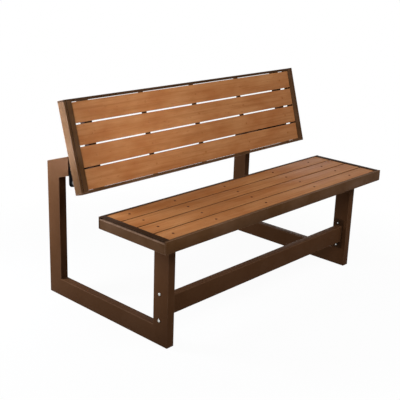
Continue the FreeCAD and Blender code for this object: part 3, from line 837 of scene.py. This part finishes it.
def shapeSideFrame(plan):
    deep = plan["deep"]
    front, back, floor = plan["front"], plan["back"], plan["floor"]
    xMiddle = (plan["inner"] + plan["outer"]) / 2
    railMiddle = floor + deep / 2
    tube = addBlock(
        "sideFrameRight", (plan["inner"], front, floor), (plan["outer"], front + deep, floor + deep),
    )
    pickFaceNear(tube, (xMiddle, front + deep, railMiddle))
    extrudePicked((0, back - front - 2 * deep, 0))
    pickFaceNear(tube, (xMiddle, back - deep, railMiddle))
    extrudePicked((0, deep, 0))
    pickFaceNear(tube, (xMiddle, front + deep / 2, floor + deep))
    extrudePicked((0, 0, plan["postTop"] - floor - deep))
    pickFaceNear(tube, (xMiddle, back - deep / 2, floor + deep))
    extrudePicked((0, 0, plan["rearTop"] - floor - deep))
    slope = math.tan(math.radians(plan["rise"]))
    mitre = deep * math.tan(math.radians(90 - plan["rise"]) / 2)
    pickEdges(tube, edgeAt(0, {1: back - deep, 2: plan["rearTop"]}))
    movePicked((0, 0, -mitre))
    pickFaceNear(tube, (xMiddle, back - deep / 2, plan["rearTop"] - mitre / 2))
    run = back - plan["armFront"]
    extrudePicked((0, -run, run * slope))
    innerEnd = Vector((0, back - deep - run, plan["rearTop"] - mitre + run * slope))
    lower = plan["rearTop"] + run * slope - deep / math.cos(math.radians(plan["rise"]))
    pickEdges(tube, edgeAt(0, {1: innerEnd.y, 2: innerEnd.z}))
    movePicked((0, plan["armFront"] - innerEnd.y, lower - innerEnd.z))
    bevelSharp(tube, plan["round"], 4, "slight")
    return tube


finishBothSides(
    shapeSideFrame(sideFramePlan), "sideFrame", "frame", "frame_paint",
    ["bottom_rail_", "front_post_", "rear_post_", "top_arm_"],
)

seatArmPlan = {"slantY": -0.312, "nose": 0.008, "round": 0.0016}


def shapeSeatArm(plan):
    low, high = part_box("seat_arm_right")
    arm = addBlock("seatArmRight", low, high)
    sliceAt(arm, 1, plan["slantY"])
    pickEdges(arm, edgeAt(0, {1: low.y, 2: low.z}))
    movePicked((0, 0, high.z - low.z - plan["nose"]))
    bevelSharp(arm, plan["round"], 3, "square")
    return arm


finishBothSides(shapeSeatArm(seatArmPlan), "seatArm", "frame", "frame_paint", ["seat_arm_"])
print("side frames shaped")


# stretcher, its end plates and the weld round each end

stretcherPlan = {
    "round": 0.002, "weld": 0.0025, "weldRound": 0.001125,
    "plateRound": 0.003, "plateEdge": 0.0008, "plateShade": 0.8,
}


def shapeStretcher(plan):
    low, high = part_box("stretcher")
    bar = addBlock("stretcherBar", low, high)
    pickEdges(bar, runsAlong(0))
    bevelPicked(plan["round"], 4)
    grow = plan["weld"]
    welds = []
    for start, end in ((low.x, low.x + grow), (high.x - grow, high.x)):
        weld = addBlock("weld", (start, low.y - grow, low.z - grow), (end, high.y + grow, high.z + grow))
        pickEdges(weld, runsAlong(0))
        bevelPicked(plan["round"] + grow, 4)
        bevelSharp(weld, plan["weldRound"], 2, "square")
        welds.append(weld)
    return joinAll("stretcherBar", [bar] + welds)


bar = shapeStretcher(stretcherPlan)
markEdges(bar)
finishPiece(bar, "frame", "frame_paint", "stretcher")
for side in ("left", "right"):
    low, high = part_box("stretcher_plate_" + side)
    plate = addBlock("stretcherPlate" + side.title(), low, high)
    pickEdges(plate, runsAlong(0))
    bevelPicked(stretcherPlan["plateRound"], 4)
    bevelSharp(plate, stretcherPlan["plateEdge"], 2, "square")
    # the plates are darkened by painted shade, a painted shadow round the stretcher's ends
    shadeFaces(plate, stretcherPlan["plateShade"])
    markEdges(plate)
    finishPiece(plate, "frame", "frame_paint", "stretcher_plate_" + side)
print("stretcher shaped")


# round heads whose top edge is rounded and whose middle is sunk

def shapeHead(name, plan, inset, depth):
    head = addRound(name, plan["sides"], plan["radius"], plan["height"], (0, 0, plan["height"] / 2))
    pickFaces(head, lambda centre, normal: normal.z > alongTop)
    bevelPicked(plan["dome"], plan["domeSteps"])
    pickFaceNear(head, (0, 0, plan["height"]))
    bpy.ops.mesh.inset(thickness=inset)
    extrudePicked((0, 0, -depth))
    return head


# low screw heads with a drive recess

screwPlan = {
    "radius": 0.005, "height": 0.0012, "sides": 20, "dome": 0.0008, "domeSteps": 3, "inset": 0.002,
    "seat": {"top": 0.471, "front": -0.3932, "drive": 0.001, "tint": 0.0,
             "rows": ((-0.602, 0.008), (-0.368, 0.013), (-0.07, 0.013), (0.261, 0.013), (0.535, 0.013))},
    "back": {"front": 0.0015, "drive": 0.0003, "tint": 3.0, "rows": (-0.592, -0.297, 0.0, 0.297, 0.592)},
}


# the attribute "edge" carries a tint, by which the back's screws match the planks, while the seat's screws
# keep the dark screw paint, which is partly a painted shade for their drive recesses
def shapeScrew(plan, driveDepth, tint):
    head = shapeHead("screw", plan, plan["inset"], driveDepth)
    marks = head.data.attributes.new("edge", "FLOAT", "FACE")
    marks.data.foreach_set("value", [tint] * len(head.data.polygons))
    return head


def plankMiddle(index):
    return index * plankPlan["pitch"] + plankPlan["width"] / 2


seatScrewPlan, backScrewPlan = screwPlan["seat"], screwPlan["back"]
middleIndex = (plankPlan["count"] - 1) / 2
seatScrewPlaces = []
backScrewPlaces = []
for index in range(plankPlan["count"]):
    seatY = seatScrewPlan["front"] + plankPlan["seatMargin"] + plankMiddle(index)
    for row, step in seatScrewPlan["rows"]:
        place = Matrix.Translation((row + (index - middleIndex) * step, seatY, seatScrewPlan["top"]))
        seatScrewPlaces.append(place)
    backZ = plankPlan["backMargin"] + plankMiddle(index)
    for row in backScrewPlan["rows"]:
        place = Matrix.Translation((row, backScrewPlan["front"], backZ))
        backScrewPlaces.append(place @ Matrix.Rotation(math.radians(90), 4, "X"))

seatScrew = shapeScrew(screwPlan, seatScrewPlan["drive"], seatScrewPlan["tint"])
seatScrews = scatter("seatScrews", seatScrew, seatScrewPlaces)
finishPiece(seatScrews, "frame", "screw_paint", "seat_screws")
backScrew = shapeScrew(screwPlan, backScrewPlan["drive"], backScrewPlan["tint"])
backScrews = scatter("backScrews", backScrew, backScrewPlaces)
finishPiece(leanBack(backScrews), "back", "screw_paint", "back_screws")
print("screws placed:", len(seatScrewPlaces) + len(backScrewPlaces))


# domed bolt heads with a hexagon socket, outside the front posts

boltPlan = {
    "radius": 0.00575, "height": 0.0035, "sides": 24, "dome": 0.0018, "domeSteps": 4,
    "socket": 0.0023, "socketDepth": 0.0022, "socketPlay": 1.02,
    "shank": 0.003, "shankSides": 16, "tail": 0.049, "face": 0.610, "y": -0.2765, "heights": (0.104, 0.212),
}


def shapeBolt(plan):
    inset = plan["radius"] - plan["dome"] - plan["socket"]
    head = shapeHead("bolt", plan, inset, plan["socketDepth"])
    # the socket's round wall is drawn in to a hexagon
    for vertex in head.data.vertices:
        reach = math.hypot(vertex.co.x, vertex.co.y)
        if reach < plan["socket"] * plan["socketPlay"]:
            turn = math.atan2(vertex.co.y, vertex.co.x) % (math.pi / 3) - math.pi / 6
            flat = math.cos(math.pi / 6) / math.cos(turn)
            vertex.co.x *= flat
            vertex.co.y *= flat
    shank = addRound("boltShank", plan["shankSides"], plan["shank"], plan["tail"], (0, 0, -plan["tail"] / 2))
    return joinAll("bolt", [head, shank])


boltPlaces = []
for height in boltPlan["heights"]:
    for side in (-1, 1):
        turn = Matrix.Rotation(math.radians(90 * side), 4, "Y")
        boltPlaces.append(Matrix.Translation((boltPlan["face"] * side, boltPlan["y"], height)) @ turn)
finishPiece(scatter("stretcherBolts", shapeBolt(boltPlan), boltPlaces), "frame", "zinc", "stretcher_bolts")
print("bolts placed:", len(boltPlaces))


# the other nodes keep their CAD shape and take the same finishes

slotOfNode = {part["node"]: part["material_slot"] for part in frame["record"]["subparts"]}
kept = 0
for name, item in frame["nodes"].items():
    if item.hide_render:
        continue
    finish = finishes[slotOfNode[name]]
    if item.material_slots:
        item.material_slots[0].material = finish
    else:
        item.data.materials.append(finish)
    kept += 1
print("nodes kept:", kept)


# floor, background and lights

stagePlan = {
    "floorSize": 60, "floorDrop": 0.0004, "floorRough": 0.9, "floorGloss": 0.1,
    "floorSeen": (0.9, 0.9, 0.9, 1), "floorBounce": (0.17, 0.16, 0.155, 1),
    "whiteShare": 0.955, "clearNear": 0.9, "clearFar": 1.5, "fill": 0.05,
}

# lamps without an aim look at the middle of the bench
lampAim = (0, 0, 0.45)
lampPlan = {
    "sideHighLamp": {"place": (-1.15, 0.65, 0.95), "size": 0.4, "power": 9, "colour": (0.94, 1.0, 1.1)},
    "sideMiddleLamp": {"place": (-1.3, 0.9, 0.6), "size": 0.5, "power": 9, "colour": (0.94, 1.0, 1.1)},
    "backSideLamp": {"place": (-1.6, 0.42, 0.54), "aim": (-0.7, 0.16, 0.76), "size": 0.3, "power": 1.4,
                     "spread": 34, "colour": (0.86, 1.0, 1.2)},
    "frontSideLamp": {"place": (-1.5, -0.5, 0.28), "aim": (-0.65, -0.27, 0.37), "size": 0.3, "power": 0.22,
                      "spread": 50},
    "frontHighLamp": {"place": (-0.4, -1.5, 2.15), "size": 1.2, "power": 24},
    "backLeftLamp": {"place": (-0.9, -1.4, 0.62), "aim": (-0.42, 0.1, 0.78), "size": 0.25, "power": 0.35,
                     "spread": 34},
    "frontRightLamp": {"place": (0.9, -1.7, 1.6), "size": 1.0, "power": 13},
    "rightFillLamp": {"place": (1.7, 0.8, 0.24), "size": 0.4, "power": 4},
    "rearFillLamp": {"place": (0.1, 2.3, 0.22), "size": 0.4, "power": 4},
}


# white to the camera and in reflections, so that no lamp has to whiten it
def whiteWhereSeen(tree, path):
    seen = calculate(tree, "MAXIMUM", path.outputs["Is Camera Ray"], path.outputs["Is Glossy Ray"])
    seen = calculate(tree, "MAXIMUM", seen, path.outputs["Is Transmission Ray"])
    return seen


def addFloor(plan):
    deselectAll()
    bpy.ops.mesh.primitive_plane_add(size=plan["floorSize"], location=(0, 0, -plan["floorDrop"]))
    floor = nameIt(bpy.context.active_object, "studioFloor")
    material, tree, shader = startMaterial("studioFloor")
    path = addNode(tree, "ShaderNodeLightPath")
    floorColour = mixColours(tree, path.outputs["Is Camera Ray"], plan["floorBounce"], plan["floorSeen"])
    tree.links.new(floorColour, shader.inputs["Base Color"])
    shader.inputs["Roughness"].default_value = plan["floorRough"]
    shader.inputs["Specular IOR Level"].default_value = plan["floorGloss"]
    glow = addNode(tree, "ShaderNodeEmission", {"Color": (1, 1, 1, 1), "Strength": 1.0})
    mix = addNode(tree, "ShaderNodeMixShader")
    # the shadow is kept near the object only, and further out the floor is plain white
    place = addNode(tree, "ShaderNodeTexCoord").outputs["Object"]
    reach = addNode(tree, "ShaderNodeVectorMath", {}, {0: place}, operation="LENGTH").outputs["Value"]
    white = spread(tree, reach, plan["clearNear"], plan["clearFar"], plan["whiteShare"], 1.0)
    share = calculate(tree, "MULTIPLY", whiteWhereSeen(tree, path), white)
    tree.links.new(share, mix.inputs[0])
    tree.links.new(shader.outputs[0], mix.inputs[1])
    tree.links.new(glow.outputs[0], mix.inputs[2])
    output = next(node for node in tree.nodes if node.type == "OUTPUT_MATERIAL")
    tree.links.new(mix.outputs[0], output.inputs["Surface"])
    floor.data.materials.append(material)


def addWorld(plan):
    world = bpy.data.worlds.new("studio")
    bpy.context.scene.world = world
    world.use_nodes = True
    tree = world.node_tree
    tree.nodes.clear()
    output = tree.nodes.new("ShaderNodeOutputWorld")
    light = addNode(tree, "ShaderNodeBackground", {"Color": (1, 1, 1, 1), "Strength": plan["fill"]})
    white = addNode(tree, "ShaderNodeBackground", {"Color": (1, 1, 1, 1), "Strength": 1.0})
    mix = addNode(tree, "ShaderNodeMixShader")
    tree.links.new(whiteWhereSeen(tree, addNode(tree, "ShaderNodeLightPath")), mix.inputs[0])
    tree.links.new(light.outputs[0], mix.inputs[1])
    tree.links.new(white.outputs[0], mix.inputs[2])
    tree.links.new(mix.outputs[0], output.inputs["Surface"])


def addLamp(name, plan):
    deselectAll()
    bpy.ops.object.light_add(type="AREA", location=plan["place"])
    lamp = bpy.context.active_object
    lamp.name = name
    lamp.data.size = plan["size"]
    lamp.data.energy = plan["power"]
    lamp.data.color = plan.get("colour", (1, 1, 1))
    lamp.data.spread = math.radians(plan.get("spread", 180))
    lamp.visible_camera = False
    aim = Vector(plan.get("aim", lampAim)) - Vector(plan["place"])
    lamp.rotation_euler = aim.to_track_quat("-Z", "Y").to_euler()


addFloor(stagePlan)
addWorld(stagePlan)
for name, plan in lampPlan.items():
    addLamp(name, plan)
bpy.context.scene.view_settings.view_transform = "Standard"
print("stage lit")
